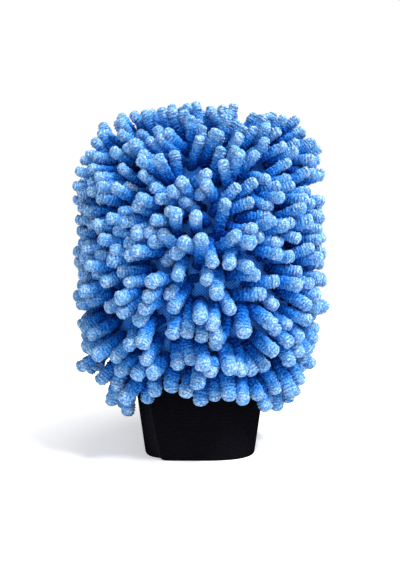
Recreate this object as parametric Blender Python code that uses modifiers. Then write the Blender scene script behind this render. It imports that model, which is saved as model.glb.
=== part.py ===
"""Chenille wash mitt, standing on its elastic cuff with the hand opening downwards.

Two pile cloths, front and back, are sewn together round the sides and top with their seam
allowances turned in. Rows of chenille yarn lie on each cloth and rise from it in noodles. A
lining bag hangs inside, and the mouth of cloth and lining holds the top of a lapped elastic cuff.
Metres, +Z up. The origin is on the floor, in the middle of the cuff.
"""

import math
import random

import bmesh
import bpy
from mathutils import Vector

MM = 0.001

# Fits: the room between pieces that lie on each other.
FIT_GAP = 0.3 * MM
SEAM_GAP = 0.3 * MM

# Elastic cuff: one band of webbing whose ends lap at the front left.
CUFF_WIDTH = 85 * MM
CUFF_DEPTH = 64 * MM
CUFF_HEIGHT = 70 * MM
CUFF_THICKNESS = 1.8 * MM
CUFF_FLARE = 0.15
CUFF_TUCK = 10 * MM
LAP_EDGE_STEP = -4
LAP_STEPS = 2
LAP_RAMP_STEPS = 2

# Pile cloth: the knitted ground of the front and back panels, a pillow open at its mouth.
BODY_WIDTH = 138 * MM
BODY_DEPTH = 100 * MM
BODY_RISE = 180 * MM
BELLY_RISE = 62 * MM
SWELL_RISE = 38 * MM
CORNER_RADIUS = 24 * MM
CLOTH_THICKNESS = 1.2 * MM
SEAM_ALLOWANCE = 5 * MM
SECTION_POWER = 2.4
CROWN_POWER = 2.6

# Lining: a thin bag inside the seam allowances of the pile cloths.
LINING_THICKNESS = 0.8 * MM
LINING_EASE = 2.6 * MM

# Chenille: noodles along a flattened run of yarn on the face of the cloth.
NOODLE_DIAMETER = 8.4 * MM
NOODLE_LENGTH = 29 * MM
NOODLE_SPACE = 5 * MM
NOODLE_ROOT = 6.2 * MM
NOODLE_TIP = 2.4 * MM
RUN_WIDTH = 5.6 * MM
RUN_THICKNESS = 2 * MM
RUN_CLEARANCE = 0.5 * MM
PARTING_LOW = 82 * MM
PARTING_HIGH = 136 * MM
PARTING_SPREAD = 16 * MM
LEAN = 1.0
JITTER = 0.05
JITTER_SEED = 11

# Sewing thread.
THREAD_DIAMETER = 0.8 * MM
OVERLOCK_DIAMETER = 1.6 * MM
STITCH_INSET = 5 * MM

# Facets: steps across each half section, and rows up the lining.
SECTION_STEPS = 12
LINING_ROWS = 6
PROFILE_SAMPLES = 600

MOUTH_HEIGHT = CUFF_HEIGHT - CUFF_TUCK
BODY_TOP = MOUTH_HEIGHT + BODY_RISE
STEP_TURN = math.pi / SECTION_STEPS
NOODLE_PITCH = NOODLE_DIAMETER + NOODLE_SPACE

# Colours, as linear values.
CHENILLE_BLUE = (0.075, 0.235, 0.68)
CLOTH_BLUE = (0.06, 0.2, 0.62)
LINING_GREY = (0.32, 0.34, 0.38)
WEBBING_BLACK = (0.006, 0.006, 0.007)
THREAD_BLUE = (0.04, 0.14, 0.48)


def section_point(half_width, half_depth, turn):
    """Point of a rounded section in plan. Turn 0 is the front, -Y, and grows towards +X."""
    power = 2 / SECTION_POWER
    across, ahead = math.sin(turn), math.cos(turn)
    return Vector((
        half_width * math.copysign(abs(across) ** power, across),
        -half_depth * math.copysign(abs(ahead) ** power, ahead),
        0,
    ))


def spaced(points, places):
    """The points at these distances along a polyline, each with the line's direction there."""
    found = []
    walked = 0.0
    places = iter(places)
    place = next(places, None)
    for start, end in zip(points, points[1:]):
        length = (end - start).length
        while place is not None and place <= walked + length:
            found.append((start.lerp(end, (place - walked) / length), (end - start).normalized()))
            place = next(places, None)
        walked += length
    return found


def length_of(points):
    return sum((end - start).length for start, end in zip(points, points[1:]))


def cuff_half(z):
    """Outer half width and half depth of the cuff at this height."""
    lean = CUFF_FLARE * z
    return CUFF_WIDTH / 2 + lean, CUFF_DEPTH / 2 + lean


class Bag:
    """A pillow open below: a flat rounded outline that swells front and back from a straight neck."""

    def __init__(self, neck_top, neck_half, half_width, half_depth, top, corner, rows=0):
        self.low = MOUTH_HEIGHT
        self.neck_top = neck_top
        self.neck_half_width, self.neck_half_depth = neck_half
        self.full_half_width = half_width
        self.full_half_depth = half_depth
        self.top = top
        self.corner = corner
        self.row_count = rows or int(self.climb_length() / NOODLE_PITCH)

    def swell(self, z, neck, full, rise):
        share = min(max((z - self.neck_top) / rise, 0), 1)
        return neck + (full - neck) * math.sin(share * math.pi / 2)

    def half_width(self, z):
        corner_start = self.top - self.corner
        if z <= corner_start:
            return self.swell(z, self.neck_half_width, self.full_half_width, SWELL_RISE)
        climb = min(z - corner_start, self.corner)
        return self.full_half_width - self.corner + math.sqrt(self.corner**2 - climb**2)

    def half_depth(self, z):
        belly = self.neck_top + BELLY_RISE
        if z <= belly:
            return self.swell(z, self.neck_half_depth, self.full_half_depth, BELLY_RISE)
        share = min((z - belly) / (self.top - belly), 1)
        return self.full_half_depth * math.sqrt(1 - share**CROWN_POWER)

    def point(self, z, turn):
        flat = section_point(self.half_width(z), self.half_depth(z), turn)
        return Vector((flat.x, flat.y, z))

    def normal(self, place):
        """Outward direction of the surface at a point on it."""
        nudge = 0.05 * MM
        power = SECTION_POWER

        def inside(x, y, z):
            return (abs(x) / self.half_width(z)) ** power + (abs(y) / self.half_depth(z)) ** power

        x, y, z = place
        return Vector((
            inside(x + nudge, y, z) - inside(x - nudge, y, z),
            inside(x, y + nudge, z) - inside(x, y - nudge, z),
            inside(x, y, z + nudge) - inside(x, y, z - nudge),
        )).normalized()

    def row_heights(self):
        """Heights of even rows up the panel, measured along it between its edge and its middle."""
        samples = [
            self.low + (self.top - self.low) * math.sin(math.pi / 2 * i / PROFILE_SAMPLES)
            for i in range(PROFILE_SAMPLES + 1)
        ]
        profile = [
            Vector((self.half_width(z) * math.sqrt(0.5), self.half_depth(z) * math.sqrt(0.5), z))
            for z in samples
        ]
        pitch = length_of(profile) / self.row_count
        return [place.z for place, _ in spaced(profile, [(i + 0.5) * pitch for i in range(self.row_count)])]

    def grid_heights(self):
        """Heights of the panel's facets: its mouth, its rows and its top."""
        return [self.low, *self.row_heights(), self.top]

    def climb_length(self):
        """Length from mouth to top up the middle of the panel."""
        rises = [self.low + (self.top - self.low) * i / PROFILE_SAMPLES for i in range(PROFILE_SAMPLES + 1)]
        return length_of([Vector((0, self.half_depth(z), z)) for z in rises])

    def row_line(self, z):
        """Fine polyline across the front of the panel at this height, from -X to +X."""
        turns = [-math.pi / 2 + math.pi * i / PROFILE_SAMPLES for i in range(PROFILE_SAMPLES + 1)]
        return [self.point(z, turn) for turn in turns]

    def seam_line(self):
        """The side and top seam in the XZ plane, from the mouth at -X over the top to the mouth at +X."""
        left = [Vector((-self.half_width(z), 0, z)) for z in self.grid_heights()]
        across = [
            Vector((self.half_width(self.top) * math.sin(-math.pi / 2 + STEP_TURN * i), 0, self.top))
            for i in range(1, SECTION_STEPS)
        ]
        right = [Vector((-place.x, 0, place.z)) for place in reversed(left)]
        return left + across + right


def inset_line(line, distance):
    """A line in the XZ plane moved to its right-hand side, which is inwards on a seam line."""
    moved = []
    for i, place in enumerate(line):
        ahead = line[min(i + 1, len(line) - 1)] - line[max(i - 1, 0)]
        moved.append(place + Vector((ahead.z, 0, -ahead.x)).normalized() * distance)
    return moved


MOUTH_HALF = tuple(half + FIT_GAP + CLOTH_THICKNESS for half in cuff_half(MOUTH_HEIGHT))
SHELL = Bag(MOUTH_HEIGHT, MOUTH_HALF, BODY_WIDTH / 2, BODY_DEPTH / 2, BODY_TOP, CORNER_RADIUS)

LAP_DIP = CUFF_THICKNESS + FIT_GAP
LINING_STAND_OFF = CUFF_THICKNESS + LAP_DIP + FIT_GAP + LINING_THICKNESS
LINING_NECK = tuple(half - LINING_STAND_OFF for half in cuff_half(MOUTH_HEIGHT))
LINING_INSET = SEAM_ALLOWANCE + OVERLOCK_DIAMETER + THREAD_DIAMETER + 3 * FIT_GAP + LINING_EASE
LINING = Bag(
    CUFF_HEIGHT + FIT_GAP,
    LINING_NECK,
    BODY_WIDTH / 2 - LINING_INSET,
    BODY_DEPTH / 2 - CLOTH_THICKNESS - LINING_EASE,
    BODY_TOP - LINING_INSET,
    CORNER_RADIUS - LINING_INSET,
    LINING_ROWS,
)


def clear_scene():
    for obj in list(bpy.data.objects):
        bpy.data.objects.remove(obj)


def make_material(name, colour, roughness):
    material = bpy.data.materials.new(name)
    material.use_nodes = True
    shader = material.node_tree.nodes["Principled BSDF"]
    shader.inputs["Base Color"].default_value = (*colour, 1)
    shader.inputs["Roughness"].default_value = roughness
    shader.inputs["Metallic"].default_value = 0
    material.diffuse_color = (*colour, 1)
    return material


class Mitt:
    """The collection that holds the pieces, all parented to one empty at the origin."""

    def __init__(self):
        self.collection = bpy.data.collections.new("wash_mitt")
        bpy.context.scene.collection.children.link(self.collection)
        self.base = bpy.data.objects.new("wash_mitt_base", None)
        self.collection.objects.link(self.base)

    def add(self, name, data, material, half_turn=False):
        """Places a mesh or curve as a named piece, turned to the back of the mitt where asked."""
        piece = bpy.data.objects.new(name, data)
        if not data.materials:
            data.materials.append(material)
        piece.parent = self.base
        piece.rotation_euler.z = math.pi if half_turn else 0
        self.collection.objects.link(piece)
        return piece


def mesh_from(bm, name, smooth_angle=50):
    bmesh.ops.recalc_face_normals(bm, faces=bm.faces)
    mesh = bpy.data.meshes.new(name)
    bm.to_mesh(mesh)
    bm.free()
    mesh.shade_smooth()
    mesh.set_sharp_from_angle(angle=math.radians(smooth_angle))
    return mesh


def solidify(piece, thickness):
    modifier = piece.modifiers.new("thickness", "SOLIDIFY")
    modifier.thickness = thickness
    modifier.offset = -1
    modifier.use_even_offset = True
    return piece


def panel_mesh(bag, name, edge_gap, allowance=0):
    """Front panel of a bag: a grid bent to its shape, with its seam edges turned in where asked."""
    bm = bmesh.new()
    heights = bag.grid_heights()
    rows = len(heights) - 1
    bmesh.ops.create_grid(bm, x_segments=SECTION_STEPS, y_segments=rows, size=0.5)
    seam_verts = []
    for vert in bm.verts:
        column = round((vert.co.x + 0.5) * SECTION_STEPS)
        row = round((vert.co.y + 0.5) * rows)
        turn = -math.pi / 2 + STEP_TURN * column
        if row == rows:
            vert.co = (bag.half_width(bag.top) * math.sin(turn), 0, bag.top)
        else:
            vert.co = bag.point(heights[row], turn)
        on_seam = row == rows or column in (0, SECTION_STEPS)
        if on_seam:
            vert.co.y = 0
            seam_verts.append(vert)
        vert.co.y -= edge_gap
    if allowance:
        turn_in_seam(bm, bag, seam_verts, allowance)
    for face in bm.faces:
        face.normal_update()
    middle = min(bm.faces, key=lambda face: face.calc_center_median().y)
    if middle.normal.y > 0:
        bmesh.ops.reverse_faces(bm, faces=bm.faces)
    mesh = bpy.data.meshes.new(name)
    bm.to_mesh(mesh)
    bm.free()
    mesh.shade_smooth()
    mesh.set_sharp_from_angle(angle=math.radians(50))
    return mesh


def turn_in_seam(bm, bag, seam_verts, allowance):
    """Extrudes the side and top edges inwards in the plane of the seam, less beside the cuff."""
    line = bag.seam_line()
    inner = inset_line(line, allowance)
    edges = [
        edge for edge in bm.edges
        if edge.is_boundary and all(vert in seam_verts for vert in edge.verts)
    ]
    made = bmesh.ops.extrude_edge_only(bm, edges=edges)["geom"]
    for vert in [item for item in made if isinstance(item, bmesh.types.BMVert)]:
        nearest = min(
            range(len(line)),
            key=lambda i: (line[i].x - vert.co.x) ** 2 + (line[i].z - vert.co.z) ** 2,
        )
        beside_cuff = line[nearest].z <= CUFF_HEIGHT
        turned = line[nearest].lerp(inner[nearest], CLOTH_THICKNESS / allowance if beside_cuff else 1)
        vert.co.x = turned.x
        vert.co.z = turned.z


def band_point(turn, z, inset):
    half_width, half_depth = cuff_half(z)
    flat = section_point(half_width - inset, half_depth - inset, turn)
    return Vector((flat.x, flat.y, z))


def cuff_stations():
    """Turn and inset of each station of the band, from its hidden end round to its lapping end."""
    stations = []
    for i in range(2 * SECTION_STEPS + LAP_STEPS + 1):
        turn = STEP_TURN * (LAP_EDGE_STEP + LAP_STEPS - i)
        ramp = (i - LAP_STEPS) / LAP_RAMP_STEPS
        stations.append((turn, LAP_DIP * min(max(1 - ramp, 0), 1)))
    return stations


def cuff_mesh():
    """The band: its edge is drawn in plan as a strip and pulled up to the cuff's height."""
    bm = bmesh.new()
    stations = cuff_stations()
    outer = [bm.verts.new(band_point(turn, 0, inset)) for turn, inset in stations]
    edges = [bm.edges.new(pair) for pair in zip(outer, outer[1:])]
    made = bmesh.ops.extrude_edge_only(bm, edges=edges)["geom"]
    inner = [item for item in made if isinstance(item, bmesh.types.BMVert)]
    for vert in inner:
        turn, inset = stations[min(range(len(outer)), key=lambda i: (outer[i].co - vert.co).length)]
        vert.co = band_point(turn, 0, inset + CUFF_THICKNESS)
    raised = bmesh.ops.extrude_face_region(bm, geom=bm.faces[:])["geom"]
    for vert in [item for item in raised if isinstance(item, bmesh.types.BMVert)]:
        plan = Vector((vert.co.x, vert.co.y, 0))
        vert.co = plan + flare_direction(plan) * CUFF_FLARE * CUFF_HEIGHT
        vert.co.z = CUFF_HEIGHT
    return mesh_from(bm, "elastic_cuff", smooth_angle=40)


def flare_direction(plan):
    """How a point of the band in plan moves outwards for each unit of lean."""
    power = SECTION_POWER
    half_width, half_depth = CUFF_WIDTH / 2, CUFF_DEPTH / 2
    size = ((abs(plan.x) / half_width) ** power + (abs(plan.y) / half_depth) ** power) ** (1 / power)
    return Vector((plan.x / half_width / size, plan.y / half_depth / size, 0))


def thread_curve(name, points, diameter, closed=False):
    """A sewing thread laid through these points."""
    curve = bpy.data.curves.new(name, "CURVE")
    curve.dimensions = "3D"
    curve.bevel_depth = diameter / 2
    curve.bevel_resolution = 0
    curve.use_fill_caps = True
    spline = curve.splines.new("POLY")
    spline.points.add(len(points) - 1)
    for target, place in zip(spline.points, points):
        target.co = (*place, 1)
    spline.use_cyclic_u = closed
    return curve


def side_seam_path():
    """Overlocking along the inner edges of the two seam allowances."""
    inset = SEAM_ALLOWANCE + FIT_GAP + OVERLOCK_DIAMETER / 2
    return inset_line(SHELL.seam_line(), inset)[2:-2]


def lining_seam_path():
    """Stitching along the outside of the lining's seam."""
    return inset_line(LINING.seam_line(), -(FIT_GAP + THREAD_DIAMETER / 2))[1:-1]


def cuff_seam_path():
    """A ring of stitches round the outside of the mitt's mouth."""
    z = MOUTH_HEIGHT + THREAD_DIAMETER
    stand_off = FIT_GAP + THREAD_DIAMETER / 2
    half_width, half_depth = SHELL.half_width(z), SHELL.half_depth(z)
    ring = []
    for i in range(2 * SECTION_STEPS):
        flat = section_point(half_width + stand_off, half_depth + stand_off + SEAM_GAP, STEP_TURN * i)
        ring.append(Vector((flat.x, flat.y, z)))
    return ring


def lap_stitch_path():
    """A box of stitches through both layers of the lap, below the mouth of the mitt."""
    stand_off = FIT_GAP + THREAD_DIAMETER / 2
    low, high = STITCH_INSET, MOUTH_HEIGHT - STITCH_INSET
    start = LAP_EDGE_STEP + 0.25
    end = LAP_EDGE_STEP + LAP_STEPS - 0.25
    corners = [(start, low), (start, high), (end, high), (end, low)]
    middles = [(LAP_EDGE_STEP + 1, high), (LAP_EDGE_STEP + 1, low)]
    order = [corners[0], corners[1], middles[0], corners[2], corners[3], middles[1]]
    return [band_point(STEP_TURN * step, z, -stand_off) for step, z in order]


def comb_direction(place, rng):
    """The way a noodle points: out from the cloth, leaning away from the parting up its middle."""
    rise = min(max(place.z - MOUTH_HEIGHT, PARTING_LOW), PARTING_HIGH)
    away = Vector((place.x, 0, place.z - MOUTH_HEIGHT - rise))
    lean = away * LEAN / (away.length + PARTING_SPREAD)
    stray = Vector([rng.uniform(-JITTER, JITTER) for _ in range(3)])
    return (SHELL.normal(place) + lean + stray).normalized()


def push_face(bm, face, corners):
    """Extrudes a face and sets its corners, in order."""
    face = bmesh.ops.extrude_discrete_faces(bm, faces=[face])["faces"][0]
    for vert, place in zip(face.verts, corners):
        vert.co = place
    return face


def run_section(place, along):
    """Corners of the yarn's flattened section where it lies on the cloth."""
    normal = SHELL.normal(place)
    climb = normal.cross(along).normalized() * RUN_WIDTH / 2
    low = place + normal * RUN_CLEARANCE - Vector((0, SEAM_GAP / 2, 0))
    high = low + normal * RUN_THICKNESS
    return [low - climb, low + climb, high + climb, high - climb]


def noodle_ring(face, base, centre, axis, radius):
    """Places on a circle round the axis for each corner of the face at its base, with the least twist."""
    across = axis.orthogonal().normalized()
    up = axis.cross(across)
    step = 2 * math.pi / len(face.verts)
    offsets = [vert.co - base for vert in face.verts]
    turns = [math.atan2(offset.dot(up), offset.dot(across)) - i * step for i, offset in enumerate(offsets)]
    start = math.atan2(sum(map(math.sin, turns)), sum(map(math.cos, turns)))
    return [
        centre + (across * math.cos(start + i * step) + up * math.sin(start + i * step)) * radius
        for i in range(len(offsets))
    ]


def grow_noodle(bm, root, place, rng):
    """Pulls one noodle out of its root face on the run of yarn."""
    axis = comb_direction(place, rng)
    base = root.calc_center_median()
    shoulder = base + axis * (NOODLE_LENGTH - NOODLE_TIP)
    tip = base + axis * NOODLE_LENGTH
    root.normal_update()
    if root.normal.dot(axis) < 0:
        root.normal_flip()
    ring = noodle_ring(root, base, shoulder, axis, NOODLE_DIAMETER / 2)
    end = push_face(bm, root, ring)
    bmesh.ops.poke(bm, faces=[end])["verts"][0].co = tip


def chenille_mesh(name, z, shift, rng):
    """One row: a run of yarn across the front cloth with its noodles. Shift staggers the rows."""
    line = SHELL.row_line(z)
    length = length_of(line)
    count = max(int(length / NOODLE_PITCH), 2)
    pitch = length / count
    places = [(i + shift) * pitch for i in range(count)]
    ends = [place + side * NOODLE_ROOT / 2 for place in places for side in (-1, 1)]
    roots = [place for place, _ in spaced(line, places)]
    bm = bmesh.new()
    stations = [run_section(place, along) for place, along in spaced(line, ends)]
    face = bm.faces.new([bm.verts.new(corner) for corner in stations[0]])
    rings = [face.verts[:]]
    for corners in stations[1:]:
        face = push_face(bm, face, corners)
        rings.append(face.verts[:])
    bmesh.ops.holes_fill(bm, edges=[edge for edge in bm.edges if edge.is_boundary])
    bmesh.ops.recalc_face_normals(bm, faces=bm.faces)
    for i, place in enumerate(roots):
        near, far = rings[2 * i], rings[2 * i + 1]
        root = bm.faces.get((near[2], near[3], far[3], far[2]))
        bmesh.utils.edge_split(bm.edges.get((near[2], far[2])), near[2], 0.5)
        grow_noodle(bm, root, place, rng)
    return mesh_from(bm, name, smooth_angle=70)


def add_pile(mitt, material):
    """Rows of chenille on the front cloth from the mouth up, and the same rows turned to the back."""
    rng = random.Random(JITTER_SEED)
    for i, z in enumerate(SHELL.row_heights()):
        label = f"chenille_row_{i + 1:02d}"
        mesh = chenille_mesh(label, z, 0.25 if i % 2 else 0.75, rng)
        mitt.add(f"front_{label}", mesh, material)
        mitt.add(f"back_{label}", mesh, material, half_turn=True)


def add_panels(mitt, bag, label, thickness, material, edge_gap, allowance=0):
    """The front panel of a bag, and the same panel turned to the back."""
    mesh = panel_mesh(bag, label, edge_gap, allowance)
    solidify(mitt.add(f"front_{label}", mesh, material), thickness)
    solidify(mitt.add(f"back_{label}", mesh, material, half_turn=True), thickness)


def main():
    clear_scene()
    mitt = Mitt()
    chenille = make_material("chenille_blue", CHENILLE_BLUE, 0.95)
    cloth = make_material("pile_cloth_blue", CLOTH_BLUE, 0.9)
    lining = make_material("lining_grey", LINING_GREY, 0.8)
    webbing = make_material("webbing_black", WEBBING_BLACK, 0.85)
    thread = make_material("thread_blue", THREAD_BLUE, 0.6)

    add_panels(mitt, SHELL, "pile_cloth", CLOTH_THICKNESS, cloth, SEAM_GAP / 2, SEAM_ALLOWANCE)
    add_panels(mitt, LINING, "lining", LINING_THICKNESS, lining, LINING_THICKNESS)
    mitt.add("elastic_cuff", cuff_mesh(), webbing)
    side_seam = thread_curve("side_seam_overlock", side_seam_path(), OVERLOCK_DIAMETER)
    mitt.add("side_seam_overlock", side_seam, thread)
    lining_seam = thread_curve("lining_seam_thread", lining_seam_path(), THREAD_DIAMETER)
    mitt.add("lining_seam_thread", lining_seam, lining)
    cuff_seam = thread_curve("cuff_seam_thread", cuff_seam_path(), THREAD_DIAMETER, closed=True)
    mitt.add("cuff_seam_thread", cuff_seam, thread)
    lap_seam = thread_curve("cuff_lap_thread", lap_stitch_path(), THREAD_DIAMETER, closed=True)
    mitt.add("cuff_lap_thread", lap_seam, webbing)
    add_pile(mitt, chenille)


main()
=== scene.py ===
import math

import bmesh
import bpy
import numpy as np
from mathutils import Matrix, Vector
from mathutils.bvhtree import BVHTree
from mathutils.kdtree import KDTree


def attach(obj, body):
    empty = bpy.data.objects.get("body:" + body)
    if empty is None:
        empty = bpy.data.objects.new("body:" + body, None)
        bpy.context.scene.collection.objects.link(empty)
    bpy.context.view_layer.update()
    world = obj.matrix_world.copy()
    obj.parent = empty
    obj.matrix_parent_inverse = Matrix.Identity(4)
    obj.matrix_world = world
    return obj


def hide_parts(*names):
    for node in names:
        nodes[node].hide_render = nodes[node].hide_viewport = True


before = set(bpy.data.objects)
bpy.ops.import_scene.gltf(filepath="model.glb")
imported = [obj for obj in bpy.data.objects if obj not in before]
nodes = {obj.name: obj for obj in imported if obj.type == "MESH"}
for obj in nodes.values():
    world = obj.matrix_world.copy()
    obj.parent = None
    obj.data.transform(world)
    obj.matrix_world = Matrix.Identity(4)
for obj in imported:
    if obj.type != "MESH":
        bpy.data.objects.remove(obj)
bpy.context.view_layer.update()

mm = 0.001
weldDistance = 0.001 * mm
scene = bpy.context.scene
scene.view_settings.view_transform = "Standard"
rng = np.random.default_rng(3)
print("frame loaded:", len(nodes), "nodes")


# small helpers

mixFirst, mixSecond, mixResult = 6, 7, 2  # the colour sockets of a Mix node


def hexColour(code):
    channels = [int(code[i:i + 2], 16) / 255 for i in (1, 3, 5)]  # sRGB to linear
    linear = [c / 12.92 if c <= 0.04045 else ((c + 0.055) / 1.055) ** 2.4 for c in channels]
    return (*linear, 1.0)


def plugIn(tree, node, inputs):
    for socket, source in inputs.items():
        if isinstance(source, bpy.types.NodeSocket):
            tree.links.new(source, node.inputs[socket])
        else:
            node.inputs[socket].default_value = source


def addNode(tree, kind, inputs=None, **settings):
    made = tree.nodes.new(kind)
    for name, value in settings.items():
        setattr(made, name, value)
    plugIn(tree, made, inputs or {})
    return made


def newMaterial(name):
    material = bpy.data.materials.new(name)
    material.use_nodes = True
    tree = material.node_tree
    return material, tree, tree.nodes["Principled BSDF"]


def setRamp(ramp, stops):
    elements = ramp.color_ramp.elements
    while len(elements) < len(stops):
        elements.new(0.5)
    for element, (place, colour) in zip(elements, stops):
        element.position = place
        element.color = hexColour(colour)


def waveScale(pitch):
    return 2 * math.pi / 20 / pitch  # a wave texture turns 20 radians for each unit


def finishPiece(piece, material, replaced):
    piece.data.materials.clear()
    piece.data.materials.append(material)
    scene.collection.objects.link(piece)
    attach(piece, "root")
    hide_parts(replaced)


def pieceFromBmesh(bm, name):
    mesh = bpy.data.meshes.new(name)
    bm.to_mesh(mesh)
    bm.free()
    mesh.shade_smooth()
    return bpy.data.objects.new(name, mesh)


# level camera in front of the mitt

view = {
    "distance": 400 * mm,
    "height": 127.5 * mm,
    "focalPixels": 508,
    "imageHeight": 570,    # pixels
    "sensor": 36,          # mm, as Blender counts it
    "nearest": 10 * mm,
}


def addCamera():
    data = bpy.data.cameras.new("camera")
    data.sensor_width = view["sensor"]
    data.lens = view["focalPixels"] * view["sensor"] / view["imageHeight"]
    data.clip_start = view["nearest"]
    camera = bpy.data.objects.new("camera", data)
    camera.location = (0, -view["distance"], view["height"])
    camera.rotation_euler = (math.pi / 2, 0, 0)
    scene.collection.objects.link(camera)
    scene.camera = camera


addCamera()
print("camera placed")


# microfibre chenille: soft tufts, painted pale at their cut ends as light and painted dark down between
# them as shade

chenille = {
    # from painted shade at the roots to painted light at the tips
    "stops": [
        (0.0, "#000A34"), (0.25, "#003892"), (0.5, "#146FCE"), (0.75, "#66A6DF"), (1.0, "#E2E9F0")],
    "rootShare": 0.08,    # places on the stops
    "tipShare": 0.745,
    "darkShare": 0.85,    # of the length, from the root, over which painted root shade turns to painted tip light
    "tuftSize": 1.3 * mm,
    "fleckSize": 0.45 * mm,
    "crimpDepth": 0.27,
    "crimpMiddle": 0.75,  # painted light above this height of a crimp, painted shade in the grooves below it
    "tuftShare": 0.46,
    "tuftRange": (0.25, 0.75),
    "relief": 0.5 * mm,
    "sheen": "#CFE6FF",
}


def chenilleMaterial():
    material, tree, shader = newMaterial("microfibre_chenille")
    place = addNode(tree, "ShaderNodeTexCoord").outputs["Object"]
    along = addNode(tree, "ShaderNodeAttribute", attribute_name="along").outputs["Fac"]
    crimp = addNode(tree, "ShaderNodeAttribute", attribute_name="crimp").outputs["Fac"]
    tuftNoise, fleckNoise = (
        addNode(tree, "ShaderNodeTexNoise", {
            "Vector": place, "Scale": 1 / size, "Detail": detail}).outputs["Fac"]
        for size, detail in ((chenille["tuftSize"], 2.0), (chenille["fleckSize"], 1.0)))
    # painted shade in the crimp grooves, painted light on the crests
    shift = addNode(tree, "ShaderNodeMath", {
        0: crimp, 1: chenille["crimpDepth"], 2: -chenille["crimpMiddle"] * chenille["crimpDepth"]},
        operation="MULTIPLY_ADD")
    lowTuft, highTuft = chenille["tuftRange"]
    tuftLift = addNode(tree, "ShaderNodeMapRange", {
        "Value": tuftNoise, "From Min": lowTuft, "From Max": highTuft,
        "To Min": -chenille["tuftShare"] / 2, "To Max": chenille["tuftShare"] / 2})
    lift = addNode(tree, "ShaderNodeMath", {
        0: shift.outputs[0], 1: tuftLift.outputs[0]}, operation="ADD")
    # painted shade near the root, painted light towards the tip
    fromRoot = addNode(tree, "ShaderNodeMapRange", {
        "Value": along, "From Max": chenille["darkShare"],
        "To Min": chenille["rootShare"], "To Max": chenille["tipShare"]})
    paleness = addNode(tree, "ShaderNodeMath", {
        0: fromRoot.outputs[0], 1: lift.outputs[0]}, operation="ADD")
    tint = addNode(tree, "ShaderNodeValToRGB", {"Fac": paleness.outputs[0]})
    setRamp(tint, chenille["stops"])
    rough = addNode(tree, "ShaderNodeMath", {0: tuftNoise, 1: fleckNoise}, operation="ADD")
    bump = addNode(tree, "ShaderNodeBump", {
        "Height": rough.outputs[0], "Strength": 0.8, "Distance": chenille["relief"]})
    plugIn(tree, shader, {
        "Base Color": tint.outputs["Color"],
        "Normal": bump.outputs["Normal"],
        "Roughness": 0.95,
        "Specular IOR Level": 0.05,
        "Sheen Weight": 0.08,
        "Sheen Roughness": 0.35,
        "Sheen Tint": hexColour(chenille["sheen"]),
    })
    return material


# polyester knit ground under the pile: a fine open mesh of loops

cloth = {
    "loopPitch": 1.6 * mm,
    "loopLean": math.radians(45),
    "stops": [(0.25, "#0E50B4"), (0.8, "#3C8DF0")],    # holes, then loops
    "relief": 0.4 * mm,
}


def clothMaterial():
    material, tree, shader = newMaterial("knitted_polyester_mesh")
    place = addNode(tree, "ShaderNodeTexCoord").outputs["Object"]
    bands = []
    for lean in (-cloth["loopLean"], cloth["loopLean"]):
        turned = addNode(tree, "ShaderNodeMapping", {"Vector": place, "Rotation": (0, lean, 0)})
        bands.append(addNode(tree, "ShaderNodeTexWave", {
            "Vector": turned.outputs[0], "Scale": waveScale(cloth["loopPitch"]), "Distortion": 0.0},
            bands_direction="X"))
    crossing = addNode(tree, "ShaderNodeMath", {
        0: bands[0].outputs["Fac"], 1: bands[1].outputs["Fac"]}, operation="MAXIMUM")
    shade = addNode(tree, "ShaderNodeValToRGB", {"Fac": crossing.outputs[0]})
    setRamp(shade, cloth["stops"])
    bump = addNode(tree, "ShaderNodeBump", {
        "Height": crossing.outputs[0], "Strength": 0.8, "Distance": cloth["relief"]})
    plugIn(tree, shader, {
        "Base Color": shade.outputs["Color"],
        "Normal": bump.outputs["Normal"],
        "Roughness": 0.85,
        "Specular IOR Level": 0.1,
    })
    return material


# brushed polyester lining: flat, matt and pale, with faint courses

lining = {
    "coursePitch": 1.2 * mm,
    "napSize": 1.11 * mm,
    "colour": "#A9AEB6",
    "shaded": "#8B9098",
    "relief": 0.2 * mm,
}


def liningMaterial():
    material, tree, shader = newMaterial("knitted_polyester_lining")
    place = addNode(tree, "ShaderNodeTexCoord").outputs["Object"]
    courses = addNode(tree, "ShaderNodeTexWave", {
        "Vector": place, "Scale": waveScale(lining["coursePitch"]), "Distortion": 1.0},
        bands_direction="Z")
    nap = addNode(tree, "ShaderNodeTexNoise", {"Vector": place, "Scale": 1 / lining["napSize"]})
    shade = addNode(tree, "ShaderNodeMix", {
        "Factor": nap.outputs["Fac"],
        mixFirst: hexColour(lining["colour"]), mixSecond: hexColour(lining["shaded"])}, data_type="RGBA")
    bump = addNode(tree, "ShaderNodeBump", {
        "Height": courses.outputs["Fac"], "Strength": 0.4, "Distance": lining["relief"]})
    plugIn(tree, shader, {
        "Base Color": shade.outputs[mixResult],
        "Normal": bump.outputs["Normal"],
        "Roughness": 0.8,
    })
    return material


# knitted elastic webbing: black polyester over rubber, matt, with painted light and shade on its ribs, at
# the lap and under the pile

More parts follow.
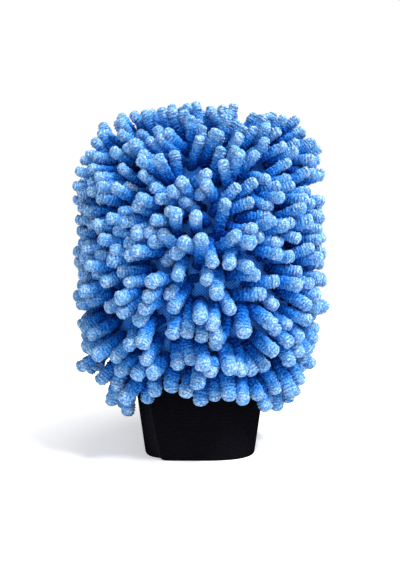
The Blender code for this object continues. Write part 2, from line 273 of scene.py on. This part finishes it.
cuff = {
    "width": 85 * mm,
    "depth": 64 * mm,
    "height": 70 * mm,
    "flare": 0.15,
    "power": 2.4,
    "squareOver": 2.2,    # how much the standing foot squares up, by layer and side
    "squareUnder": 0.5,
    "squareRight": 0.4,
    "squareHeight": 60 * mm,
    "thickness": 1.8 * mm,
    "fitGap": 0.3 * mm,
    "lapEdge": math.radians(-50),
    "lapSlant": math.radians(25),    # the sewn end runs aslant to the foot
    "lap": math.radians(30),
    "lapCorner": 5 * mm,
    "ramp": math.radians(30),
    "ribPitch": 1.4 * mm,
    "ribHeight": 0.18 * mm,
    "ringsPerRib": 3,
    "stations": 220,
    "black": "#000001",
    # pale yarn as lit: painted light mixes towards it, painted shade towards black
    "paleLit": "#232329",
    "yarnWidth": 1.43 * mm,
    "yarnSquash": 2.5,    # yarns lie along the band
    "relief": 0.2 * mm,
    # painted shade in the rib troughs, painted light on the crests
    "troughShare": 0.3,
    "crestShare": 0.8,
    "edgeHighlightWidth": 1.6 * mm,    # painted highlight on the sewn end, painted shade in the crease beside it, painted light on the under layer past it
    "crease": 2.2 * mm,
    "besideCrease": 17.6 * mm,
    "edgeHighlight": 2.0,
    "besideSheen": 1.2,
    "creaseShade": -2.2,
    "footLight": 1.15,     # painted light towards the foot, painted shade at the top under the pile
    "topShade": 0.45,
}


def webbingMaterial():
    material, tree, shader = newMaterial("knitted_elastic_webbing")
    place = addNode(tree, "ShaderNodeTexCoord").outputs["Object"]
    squashed = addNode(tree, "ShaderNodeMapping", {
        "Vector": place, "Scale": (1.0, 1.0, cuff["yarnSquash"])})
    yarn = addNode(tree, "ShaderNodeTexNoise", {
        "Vector": squashed.outputs[0], "Scale": 1 / cuff["yarnWidth"], "Detail": 2.0})
    ribs = addNode(tree, "ShaderNodeTexWave", {
        "Vector": place, "Scale": waveScale(cuff["ribPitch"]), "Distortion": 0.0}, bands_direction="Z")
    # painted light and shade from the band: highlight on the sewn end, shade in its crease and under the
    # pile
    paintedLightShade = addNode(tree, "ShaderNodeAttribute", attribute_name="paintedLightShade").outputs["Fac"]
    # painted shade in the rib troughs, painted light on the crests
    crests = addNode(tree, "ShaderNodeMapRange", {
        "Value": ribs.outputs["Fac"], "To Min": cuff["troughShare"], "To Max": cuff["crestShare"]})
    fuzzed = addNode(tree, "ShaderNodeMath", {
        0: crests.outputs[0], 1: yarn.outputs["Fac"]}, operation="MULTIPLY")
    shadedYarn = addNode(tree, "ShaderNodeMath", {0: fuzzed.outputs[0], 1: paintedLightShade}, operation="MULTIPLY")
    shade = addNode(tree, "ShaderNodeMix", {
        "Factor": shadedYarn.outputs[0],
        mixFirst: hexColour(cuff["black"]), mixSecond: hexColour(cuff["paleLit"])}, data_type="RGBA")
    bump = addNode(tree, "ShaderNodeBump", {
        "Height": yarn.outputs["Fac"], "Strength": 0.5, "Distance": cuff["relief"]})
    plugIn(tree, shader, {
        "Base Color": shade.outputs[mixResult],
        "Normal": bump.outputs["Normal"],
        "Roughness": 0.8,
        "Specular IOR Level": 0.0,
    })
    return material


# spun polyester thread: a tight twist, nearly matt

thread = {
    "plyLength": 0.625 * mm,
    "blue": "#2E66B0",
    "black": "#030304",
    "shaded": "#000000",
    "relief": 0.1 * mm,
}


def threadMaterial(name, colour):
    material, tree, shader = newMaterial(name)
    place = addNode(tree, "ShaderNodeTexCoord").outputs["Object"]
    ply = addNode(tree, "ShaderNodeTexNoise", {"Vector": place, "Scale": 1 / thread["plyLength"]})
    shade = addNode(tree, "ShaderNodeMix", {
        "Factor": ply.outputs["Fac"],
        mixFirst: hexColour(colour), mixSecond: hexColour(thread["shaded"])}, data_type="RGBA")
    bump = addNode(tree, "ShaderNodeBump", {
        "Height": ply.outputs["Fac"], "Strength": 0.4, "Distance": thread["relief"]})
    plugIn(tree, shader, {
        "Base Color": shade.outputs[mixResult],
        "Normal": bump.outputs["Normal"],
        "Roughness": 0.8,
        "Specular IOR Level": 0.1,
    })
    return material


chenilleFinish = chenilleMaterial()
clothFinish = clothMaterial()
liningFinish = liningMaterial()
webbingFinish = webbingMaterial()
blueThread = threadMaterial("spun_polyester_thread_blue", thread["blue"])
blackThread = threadMaterial("spun_polyester_thread_black", thread["black"])
print("materials made")


# cloth and lining panels: the frame's panels, rounded

panels = {
    "clothFlat": (0.215, 0.215),
    "clothArea": 0.036,
    "liningFlat": (0.19, 0.19),
    "liningArea": 0.027,
    "rounding": 2,
    "joinAngle": math.radians(60),
}


def addPanel(name, material):
    bm = bmesh.new()
    bm.from_mesh(nodes[name].data)
    bmesh.ops.remove_doubles(bm, verts=bm.verts, dist=weldDistance)
    bmesh.ops.join_triangles(
        bm, faces=bm.faces,
        angle_face_threshold=panels["joinAngle"], angle_shape_threshold=panels["joinAngle"])
    piece = pieceFromBmesh(bm, name + "_sewn")
    finishPiece(piece, material, name)
    rounding = piece.modifiers.new("rounding", "SUBSURF")
    rounding.levels = panels["rounding"]
    rounding.render_levels = panels["rounding"]


for side in ("front", "back"):
    addPanel(side + "_pile_cloth", clothFinish)
    addPanel(side + "_lining", liningFinish)
print("panels sewn")


# elastic cuff: one band, walked from its hidden end round to the sewn end that laps over it

def footShare(z):
    return max(1 - z / cuff["squareHeight"], 0)


def lapTurn(z):
    return cuff["lapEdge"] + cuff["lapSlant"] * footShare(z)


def bandPoint(turn, z, inset, layer):
    across, ahead = math.sin(turn), math.cos(turn)
    square = cuff[layer] if across < 0 else cuff["squareRight"]
    power = 2 / (cuff["power"] + square * footShare(z))
    lean = cuff["flare"] * z - inset
    return Vector((
        (cuff["width"] / 2 + lean) * math.copysign(abs(across) ** power, across),
        -(cuff["depth"] / 2 + lean) * math.copysign(abs(ahead) ** power, ahead),
        z,
    ))


def addCuff():
    rings = round(cuff["height"] / cuff["ribPitch"]) * cuff["ringsPerRib"]
    bm = bmesh.new()
    bmesh.ops.create_grid(bm, x_segments=cuff["stations"], y_segments=rings, size=0.5)
    dip = cuff["thickness"] + cuff["fitGap"]
    whole = 2 * math.pi + cuff["lap"]
    overFrom = 1.5 * math.pi    # the last quarter turn belongs to the upper layer
    arc = cuff["width"] / 2
    paintedLightShade = bm.verts.layers.float.new("paintedLightShade")
    for vert in bm.verts:
        walked = (vert.co.x + 0.5) * whole
        z = (vert.co.y + 0.5) * cuff["height"]
        drop = max(1 - z / cuff["lapCorner"], 0)
        corner = cuff["lapCorner"] / arc * (1 - math.sqrt(1 - drop ** 2))
        turn = lapTurn(z) + cuff["lap"] - walked + corner * max(1 - (whole - walked) / cuff["lap"], 0)
        ramp = (walked - cuff["lap"]) / cuff["ramp"]
        under = dip * min(max(1 - ramp, 0), 1)
        rib = cuff["ribHeight"] * (0.5 - 0.5 * math.cos(2 * math.pi * z / cuff["ribPitch"]))
        layer = "squareOver" if walked > overFrom else "squareUnder"
        vert.co = bandPoint(turn, z, under + cuff["ribHeight"] - rib, layer)
        toEnd = (whole - walked) * arc
        beyond = max((walked - cuff["lap"]) * arc - dip, 0)  # past what the sewn end hides
        # painted light and shade: highlight on the sewn end, light past the crease, shade in the crease and
        # under the pile
        vert[paintedLightShade] = (
            1
            + cuff["edgeHighlight"] * math.exp(-(toEnd / cuff["edgeHighlightWidth"]) ** 2)
            + cuff["besideSheen"] * math.exp(-(beyond / cuff["besideCrease"]) ** 2)
            + cuff["creaseShade"] * math.exp(-(beyond / cuff["crease"]) ** 2))
        vert[paintedLightShade] *= cuff["footLight"] + (cuff["topShade"] - cuff["footLight"]) * z / cuff["height"]
    bmesh.ops.recalc_face_normals(bm, faces=bm.faces)
    front = min(bm.faces, key=lambda face: face.calc_center_median().y)
    if front.normal.y > 0:
        bmesh.ops.reverse_faces(bm, faces=bm.faces)
    piece = pieceFromBmesh(bm, "elastic_cuff_band")
    wall = piece.modifiers.new("wall", "SOLIDIFY")
    wall.thickness = cuff["thickness"] - cuff["ribHeight"]
    wall.offset = -1
    finishPiece(piece, webbingFinish, "elastic_cuff")


stitches = {
    "length": 2.6 * mm,
    "gap": 1.2 * mm,
    "thickness": 0.4 * mm,
    "sunk": 0.1 * mm,
    "low": 5 * mm,
    "high": 55 * mm,
    "lines": (0.14, 0.86),    # places across the lap
    "sides": 6,
}


def addLapStitches():
    bm = bmesh.new()
    run = stitches["high"] - stitches["low"]
    count = int(run / (stitches["length"] + stitches["gap"]))
    thick, sunk = stitches["thickness"], stitches["sunk"]
    for share in stitches["lines"]:
        for i in range(count):
            z = stitches["low"] + (i + 0.5) * run / count
            above = z + stitches["length"] / 2
            middle = bandPoint(lapTurn(z) + cuff["lap"] * share, z, sunk, "squareOver")
            upper = bandPoint(lapTurn(above) + cuff["lap"] * share, above, sunk, "squareOver") - middle
            outward = Vector((middle.x, middle.y, 0)).normalized()
            across = upper.cross(outward).normalized()
            made = bmesh.ops.create_uvsphere(
                bm, u_segments=stitches["sides"], v_segments=stitches["sides"], radius=0.5)["verts"]
            for vert in made:
                x, y, lift = vert.co
                vert.co = middle + across * x * thick + outward * y * thick + upper * 2 * lift
    piece = pieceFromBmesh(bm, "cuff_lap_stitches")
    finishPiece(piece, blackThread, "cuff_lap_thread")


addCuff()
addLapStitches()
for name in ("side_seam_overlock", "cuff_seam_thread", "lining_seam_thread"):
    nodes[name].data.materials.clear()
    nodes[name].data.materials.append(blueThread)
print("cuff made")


# chenille pile: the frame's noodles are found, planted closer, let hang as soft cords, then given tufts

pile = {
    "length": 29 * mm,
    "diameter": 8.4 * mm,
    "frameEdge": 5.3 * mm,    # a point of the frame whose edges are all shorter is a noodle's end
    "lowGirth": 1.15,         # thick noodles low down, thinner ones near the top
    "highGirth": 0.87,
    "girthFrom": 90 * mm,
    "girthTo": 190 * mm,
    "girthSpread": 0.05,
    "thicken": 1.38,          # noodles for each of the frame's
    "partingCrowd": 1.3,
    "partingReach": 36 * mm,
    "seamCrowd": 0.45,
    "seamReach": 20 * mm,
    "seamFlop": 0.8,
    "lowCrowd": 0.68,         # thinner planting low down, where the noodles lie on each other
    "crowdFrom": 80 * mm,
    "crowdTo": 140 * mm,
    "scatter": (2.6 * mm, 2.6 * mm, 3.6 * mm),
    "lean": 2.9,
    "partingFlat": 0.45,
    "hemHeight": 92 * mm,
    "hemBlend": 30 * mm,
    "hemLift": 4 * mm,
    "hemCrowd": 0.5,
    "hemTrim": 0.15,
    "hemScatter": 3 * mm,
    "hemOut": 0.6,            # the hem's noodles hang outwards and down
    "hemDown": 1.5,
    "hemSteady": 0.5,
    "cornerFrom": 34 * mm,
    "cornerBlend": 16 * mm,
    "cornerDown": 0.5,
    "cornerDrop": 0.25,
    "fall": 0.8,              # how much the lower half hangs
    "fallBlend": 40 * mm,
    "crownAcross": 4 * mm,
    "crownLow": 142 * mm,
    "crownHigh": 196 * mm,
    "crownReach": 18 * mm,
    "points": 8,
    "rootDepth": 1.5 * mm,
    "rootHold": 0.6,          # how much a root keeps its heading
    "jitter": 0.32,
    "shortest": 0.85,
    "longest": 1.03,
    "sag": 0.2 * mm,
    "curl": 0.48 * mm,
    "stiffness": 0.45,
    "passes": 90,
    "freePasses": 25,         # at the end, with nothing pulling
    "pairsEvery": 5,          # passes, like the next
    "pushEvery": 3,
    "pairReach": 1.5,         # diameters, like the next two
    "offCloth": 0.4,
    "offCuff": 0.5,
    "press": 0.96,            # how much neighbours squash each other
    "pressedShare": 0.2,
}


def hemShare(z):
    return np.clip((pile["hemHeight"] - z) / pile["hemBlend"], 0, 1)


def cornerShare(x):
    return np.clip((np.abs(x) - pile["cornerFrom"]) / pile["cornerBlend"], 0, 1)


def unit(vectors):
    return vectors / np.maximum(np.linalg.norm(vectors, axis=-1, keepdims=True), 1e-9)


def surfaceTree(*names):
    points, faces = [], []
    for name in names:
        mesh = nodes[name].data
        mesh.calc_loop_triangles()
        start = len(points)
        points += [vert.co.copy() for vert in mesh.vertices]
        faces += [tuple(start + i for i in tri.vertices) for tri in mesh.loop_triangles]
    return BVHTree.FromPolygons(points, faces)


def findNoodles(node):
    bm = bmesh.new()
    bm.from_mesh(node.data)
    bmesh.ops.remove_doubles(bm, verts=bm.verts, dist=weldDistance)
    found = []
    for vert in bm.verts:
        if max(edge.calc_length() for edge in vert.link_edges) < pile["frameEdge"]:
            ring = sum((edge.other_vert(vert).co for edge in vert.link_edges), Vector())
            axis = (vert.co - ring / len(vert.link_edges)).normalized()
            found.append((vert.co - axis * pile["length"], axis))
    bm.free()
    facing = -1 if node.name.startswith("back") else 1
    return sorted(found, key=lambda noodle: math.atan2(facing * noodle[0].x, -facing * noodle[0].y))


def plantingWeight(root):
    past = root.z - min(max(root.z, pile["crownLow"]), pile["crownHigh"])
    parting = math.exp(-(math.hypot(root.x, past) / pile["partingReach"]) ** 2)
    seam = math.exp(-(root.y / pile["seamReach"]) ** 2)
    base = np.interp(root.z, [pile["crowdFrom"], pile["crowdTo"]], [pile["lowCrowd"], 1])
    return (base + pile["hemCrowd"] * hemShare(root.z)
            + pile["partingCrowd"] * parting + pile["seamCrowd"] * seam)


def thickenRow(found):
    steps = np.concatenate([[0], np.cumsum([plantingWeight(root) for root, _ in found])])
    count = round(steps[-1] * pile["thicken"])
    even = (np.arange(count) + 0.5) * steps[-1] / count
    thicker = []
    for place in np.interp(even, steps, np.arange(len(steps)) - 0.5):
        i = min(max(math.floor(place), 0), len(found) - 2)
        root = found[i][0].lerp(found[i + 1][0], place - i)
        axis = found[i][1].lerp(found[i + 1][1], place - i).normalized()
        root += Vector(rng.normal(0, pile["scatter"], 3))
        lift = pile["hemLift"] * (1 - cornerShare(root.x))
        root.z += hemShare(root.z) * rng.normal(lift, pile["hemScatter"])
        near, normal, _, _ = clothTree.find_nearest(root)
        thicker.append((near + normal * pile["rootDepth"], axis))
    return thicker


rowNames = sorted(name for name in nodes if "chenille_row" in name)
clothTree = surfaceTree("front_pile_cloth", "back_pile_cloth")
cuffTree = surfaceTree("elastic_cuff")
rows = {name: thickenRow(findNoodles(nodes[name])) for name in rowNames}
roots = np.array([root for name in rowNames for root, _ in rows[name]])
axes = np.array([axis for name in rowNames for _, axis in rows[name]])
girths = pile["diameter"] * np.interp(
    roots[:, 2], [pile["girthFrom"], pile["girthTo"]], [pile["lowGirth"], pile["highGirth"]])
girths *= rng.uniform(1 - pile["girthSpread"], 1 + pile["girthSpread"], len(roots))
hemShares = hemShare(roots[:, 2])
cornerShares = cornerShare(roots[:, 0])
print("noodles found:", len(roots))


def combedAxes():
    outward = np.zeros_like(roots)
    outward[:, 0] = roots[:, 0] - pile["crownAcross"]
    outward[:, 2] = roots[:, 2] - np.clip(roots[:, 2], pile["crownLow"], pile["crownHigh"])
    outward /= np.linalg.norm(outward, axis=1, keepdims=True) + pile["crownReach"]
    turn = rng.uniform(0, 2 * math.pi, len(roots))
    anyhow = np.stack([np.cos(turn), 0 * turn, np.sin(turn)], axis=1)  # tangled at the parting
    tangle = 1 - np.linalg.norm(outward, axis=1, keepdims=True)
    combed = axes * (1 - pile["partingFlat"] * tangle) + pile["lean"] * (outward + tangle * anyhow)
    flop = np.cross(axes, rng.normal(0, 1, axes.shape))  # any way over the seam
    seam = np.exp(-(roots[:, 1:2] / pile["seamReach"]) ** 2)
    combed += pile["seamFlop"] * seam * unit(flop)
    combed[:, 2] -= pile["fall"] * np.clip((pile["crownLow"] - roots[:, 2]) / pile["fallBlend"], 0, 1)
    hanging = axes * np.array([pile["hemOut"], pile["hemOut"], 0])
    hanging[:, 2] = -pile["hemDown"] - pile["cornerDown"] * cornerShares
    low = hemShares[:, None]
    combed = (1 - low) * unit(combed) + low * unit(hanging)
    stray = rng.normal(0, 1, axes.shape) * pile["jitter"]
    return unit(combed + stray * (1 - pile["hemSteady"] * low))


def pushOut(points, tree, clearance):
    for i, point in enumerate(points):
        near, normal, _, distance = tree.find_nearest(Vector(point))
        depth = (Vector(point) - near).dot(normal)
        if depth < clearance and distance < 3 * clearance:  # deeper points aren't this wall's
            points[i] = point + np.array(normal) * (clearance - depth)
    return points


def closePairs(points, owner, reach):
    tree = KDTree(len(points))
    for i, point in enumerate(points):
        tree.insert(point, i)
    tree.balance()
    first, second = [], []
    for i, point in enumerate(points):
        for _, j, _ in tree.find_range(point, reach):
            if owner[i] < owner[j]:
                first.append(i)
                second.append(j)
    return np.array(first), np.array(second)


def pressApart(points, first, second, reach):
    apart = points[first] - points[second]
    distance = np.maximum(np.linalg.norm(apart, axis=1), 1e-6)
    overlap = np.clip(reach - distance, 0, None)
    shift = apart / distance[:, None] * overlap[:, None] / 2
    moves = np.zeros_like(points)
    hits = np.ones(len(points))
    for ends, sign in ((first, 1), (second, -1)):
        np.add.at(moves, ends, sign * shift)
        np.add.at(hits, ends, (overlap > 0).astype(float))
    return points + moves / np.sqrt(hits)[:, None], overlap


def settleNoodles():
    count, links = len(roots), pile["points"]
    lengths = pile["length"] * rng.uniform(pile["shortest"], pile["longest"], count)
    lengths *= 1 - pile["hemTrim"] * rng.uniform(0, 2, count) * hemShares * (1 - cornerShares)
    lengths *= 1 + pile["cornerDrop"] * hemShares * cornerShares
    step = (lengths / (links - 1))[:, None]
    heading = combedAxes()
    curl = rng.normal(0, pile["curl"], (count, 1, 3))
    chains = roots[:, None, :] + heading[:, None, :] * step[:, None, :] * np.arange(links)[None, :, None]
    owner = np.repeat(np.arange(count), links)
    thick = np.repeat(girths, links) * pile["press"]
    sagShare = (np.arange(links) / (links - 1)) ** 2
    for turn in range(pile["passes"]):
        if turn < pile["passes"] - pile["freePasses"]:
            chains[:, 2:, 2] -= pile["sag"] * sagShare[None, 2:]
            chains[:, 2:] += curl * sagShare[None, 2:, None]
        for k in range(2, links):
            straight = 2 * chains[:, k - 1] - chains[:, k - 2]
            chains[:, k] += pile["stiffness"] * (straight - chains[:, k])
        points = chains.reshape(-1, 3)
        if turn % pile["pairsEvery"] == 0:
            first, second = closePairs(points, owner, pile["diameter"] * pile["pairReach"])
            reach = (thick[first] + thick[second]) / 2
        points, overlap = pressApart(points, first, second, reach)
        if turn % pile["pushEvery"] == pile["pushEvery"] - 1:
            points = pushOut(points, clothTree, pile["diameter"] * pile["offCloth"])
            points = pushOut(points, cuffTree, pile["diameter"] * pile["offCuff"])
        chains = points.reshape(count, links, 3)
        chains[:, 0] = roots
        swung = unit(chains[:, 1] - roots)
        chains[:, 1] = roots + step * unit(pile["rootHold"] * heading + (1 - pile["rootHold"]) * swung)
        for k in range(2, links):  # each link keeps its length
            chains[:, k] = chains[:, k - 1] + step * unit(chains[:, k] - chains[:, k - 1])
    pressed = int((overlap > pile["pressedShare"] * reach).sum())
    print("pairs still pressed:", pressed, "of", len(first))
    return chains


chains = settleNoodles()
print("noodles settled")


# tufts: crests that wind round each noodle, broken up by knobs, lumps and fuzz

tufts = {
    "sides": 12,
    "rings": 64,
    "rootGirth": 0.8,
    "rootSwell": 6 * mm,
    "tipRound": 0.9,          # radii
    "pitch": 2.15 * mm,
    "pitchSpread": (0.85, 1.2),
    "height": 0.55 * mm,
    "fuzz": 0.26 * mm,
    "crests": 1.6,            # shares of the height, like the next two
    "knobs": 0.7,
    "lumps": 0.5,
    "knobsRound": 5,
    "lumpPitch": 7.3 * mm,
    "twist": 2,               # crests side by side, either hand
    "crestPower": 0.6,
    "waverRound": 0.9,        # radians, like the next
    "waverAlong": 0.8,
    "waverLength": 2.3 * mm,
    "grooveDepth": 0.6,       # the grooves fade here and there
    "grooveFade": 0.4,
    "fadeLength": 1.7 * mm,
    "fadeTurn": 4.1 * mm,
    "knobShade": 0.2,
    "fuzzShade": 0.12,
    "startAxis": (0.31, 0.53, 0.79),    # slanted, so that no noodle lies along it
}


def splinePoints(cords, shares):
    links = cords.shape[1]
    before = 2 * cords[:, :1] - cords[:, 1:2]
    after = 2 * cords[:, -1:] - cords[:, -2:-1]
    padded = np.concatenate([before, cords, after], axis=1)
    place = np.clip(shares, 0, 0.999999) * (links - 1)
    start = place.astype(int)
    t = (place - start)[None, :, None]
    a, b, c, d = (padded[:, start + i] for i in range(4))
    return 0.5 * (2 * b + (c - a) * t + (2 * a - 5 * b + 4 * c - d) * t**2 + (3 * b - a - 3 * c + d) * t**3)


def noodleTemplate():
    bm = bmesh.new()
    bmesh.ops.create_uvsphere(bm, u_segments=tufts["sides"], v_segments=tufts["rings"], radius=1)
    mesh = bpy.data.meshes.new("noodle")
    bm.to_mesh(mesh)
    bm.free()
    co = np.zeros(len(mesh.vertices) * 3)
    mesh.vertices.foreach_get("co", co)
    co = co.reshape(-1, 3)
    fromPole = np.arccos(np.clip(-co[:, 2], -1, 1)) / math.pi
    station = np.rint(fromPole * tufts["rings"]).astype(int)
    around = np.arctan2(co[:, 1], co[:, 0])
    return mesh, station, around


def carriedFrames(line):
    ahead = unit(np.gradient(line, axis=1))
    frames = np.zeros_like(line)
    frames[:, 0] = unit(np.cross(ahead[:, 0], np.array(tufts["startAxis"])))
    for k in range(1, line.shape[1]):
        slipped = np.sum(frames[:, k - 1] * ahead[:, k], axis=1, keepdims=True)
        frames[:, k] = unit(frames[:, k - 1] - ahead[:, k] * slipped)
    return frames, np.cross(ahead, frames)


def tuftRelief(s, a):
    count = len(s)
    phase = rng.uniform(0, 2 * math.pi, (count, 4))
    twist = rng.choice([-1, 1], (count, 1)) * tufts["twist"]
    climb = 2 * math.pi * s / (tufts["pitch"] * rng.uniform(*tufts["pitchSpread"], (count, 1)))
    waver = (tufts["waverRound"] * np.sin(2 * a + phase[:, 1:2])
             + tufts["waverAlong"] * np.sin(3 * a + s / tufts["waverLength"] + phase[:, 2:3]))
    crest = np.abs(np.sin(climb / 2 + twist * a / 2 + waver + phase[:, :1])) ** tufts["crestPower"]
    fade = (np.sin(s / tufts["fadeLength"] + twist * a + phase[:, 2:3])
            * np.sin(a + s / tufts["fadeTurn"] + phase[:, 3:]))
    crest = 1 - (1 - crest) * (tufts["grooveDepth"] + tufts["grooveFade"] * fade)
    knobTurn = tufts["knobsRound"] * a
    knobs = np.sin(climb / 2 + knobTurn + phase[:, 1:2]) * np.sin(climb / 2 - knobTurn + phase[:, 2:3])
    lumps = np.sin(2 * math.pi * s / tufts["lumpPitch"] + a + phase[:, 3:])
    spread = rng.normal(0, 1, s.shape)
    relief = tufts["crests"] * crest - 1 + tufts["knobs"] * knobs + tufts["lumps"] * lumps
    height = tufts["height"] * relief + tufts["fuzz"] * spread
    # crimp: painted light on the crests, painted shade in the grooves
    crimp = np.clip(crest + tufts["knobShade"] * knobs + tufts["fuzzShade"] * spread, 0, 1)
    return height, crimp


def tuftedNoodles():
    mesh, station, around = noodleTemplate()
    shares = np.arange(tufts["rings"] + 1) / tufts["rings"]
    start = chains[:, :1] - unit(chains[:, 1:2] - chains[:, :1]) * pile["rootDepth"]
    line = splinePoints(np.concatenate([start, chains[:, 1:]], axis=1), shares)
    frames, side = carriedFrames(line)
    length = np.linalg.norm(np.diff(line, axis=1), axis=2).sum(axis=1)
    walked = shares[None, :] * length[:, None]
    radius = girths[:, None] / 2
    left = np.clip((length[:, None] - walked) / (radius * tufts["tipRound"]), 0, 1)
    tip = np.sqrt(np.clip(1 - (1 - left) ** 2, 0, 1))
    swell = np.clip(walked / tufts["rootSwell"], 0, 1)
    profile = radius * tip * (tufts["rootGirth"] + (1 - tufts["rootGirth"]) * swell)
    profile[:, 0] = 0
    a = around[None, :]
    height, crimp = tuftRelief(walked[:, station], a)
    reach = profile[:, station] + height * tip[:, station]
    points = (line[:, station] + frames[:, station] * (np.cos(a) * reach)[..., None]
              + side[:, station] * (np.sin(a) * reach)[..., None])
    along = np.broadcast_to(shares[station][None, :], reach.shape)
    return mesh, points, along, crimp


def addPile():
    template, points, along, crimp = tuftedNoodles()
    start = 0
    for name in rowNames:
        count = len(rows[name])
        bm = bmesh.new()
        for _ in range(count):
            bm.from_mesh(template)
        piece = pieceFromBmesh(bm, name + "_tufted")
        stop = start + count
        piece.data.vertices.foreach_set("co", points[start:stop].reshape(-1))
        for label, values in (("along", along), ("crimp", crimp)):
            piece.data.attributes.new(label, "FLOAT", "POINT").data.foreach_set(
                "value", values[start:stop].reshape(-1).astype(np.float32))
        piece.data.update()
        finishPiece(piece, chenilleFinish, name)
        start = stop


addPile()
print("pile made")


# white floor and surroundings, with soft studio light

studio = {
    "ambient": 0.31,
    "floorSize": 6,
    "floorColour": "#F4F4F6",
    "floorGlow": 0.40,    # dimmer round the foot, so that the shadow shows
    "farGlow": 0.72,
    "glowFrom": 85 * mm,
    "glowTo": 170 * mm,
    "target": (0, 0, 130 * mm),
    "lamps": {
        "key": {"place": (0.75, -0.6, 1.35), "size": 0.5, "power": 35.0},
        "fill": {"place": (-0.25, -1.3, 0.75), "size": 0.7, "power": 5.0},
    },
}


def seenRays(tree):
    path = addNode(tree, "ShaderNodeLightPath")
    straight = addNode(tree, "ShaderNodeMath", {
        0: path.outputs["Is Camera Ray"], 1: path.outputs["Is Glossy Ray"]}, operation="MAXIMUM")
    seen = addNode(tree, "ShaderNodeMath", {
        0: straight.outputs[0], 1: path.outputs["Is Transmission Ray"]}, operation="MAXIMUM")
    return seen.outputs[0]


def addFloor():
    bm = bmesh.new()
    bmesh.ops.create_grid(bm, x_segments=1, y_segments=1, size=studio["floorSize"])
    floor = pieceFromBmesh(bm, "floor")
    scene.collection.objects.link(floor)
    material, tree, shader = newMaterial("white_sweep")
    place = addNode(tree, "ShaderNodeTexCoord").outputs["Object"]
    away = addNode(tree, "ShaderNodeVectorMath", {0: place}, operation="LENGTH")
    brightness = addNode(tree, "ShaderNodeMapRange", {
        "Value": away.outputs["Value"], "From Min": studio["glowFrom"], "From Max": studio["glowTo"],
        "To Min": studio["floorGlow"], "To Max": studio["farGlow"]})
    glow = addNode(tree, "ShaderNodeMath", {
        0: seenRays(tree), 1: brightness.outputs[0]}, operation="MULTIPLY")
    plugIn(tree, shader, {
        "Base Color": hexColour(studio["floorColour"]),
        "Roughness": 1.0,
        "Specular IOR Level": 0.0,
        "Emission Color": (1, 1, 1, 1),
        "Emission Strength": glow.outputs[0],
    })
    floor.data.materials.append(material)


def addWorld():
    world = bpy.data.worlds.new("studio")
    scene.world = world
    world.use_nodes = True
    tree = world.node_tree
    strength = addNode(tree, "ShaderNodeMapRange", {
        "Value": seenRays(tree), "To Min": studio["ambient"], "To Max": 1.0})
    plugIn(tree, tree.nodes["Background"], {"Color": (1, 1, 1, 1), "Strength": strength.outputs[0]})


def addLamp(name, place, size, power):
    data = bpy.data.lights.new(name, "AREA")
    data.shape = "DISK"
    data.size = size
    data.energy = power
    lamp = bpy.data.objects.new(name, data)
    lamp.location = place
    lamp.rotation_euler = (Vector(studio["target"]) - Vector(place)).to_track_quat("-Z", "Y").to_euler()
    scene.collection.objects.link(lamp)


addFloor()
addWorld()
for name, lamp in studio["lamps"].items():
    addLamp(name, **lamp)
print("studio lit")
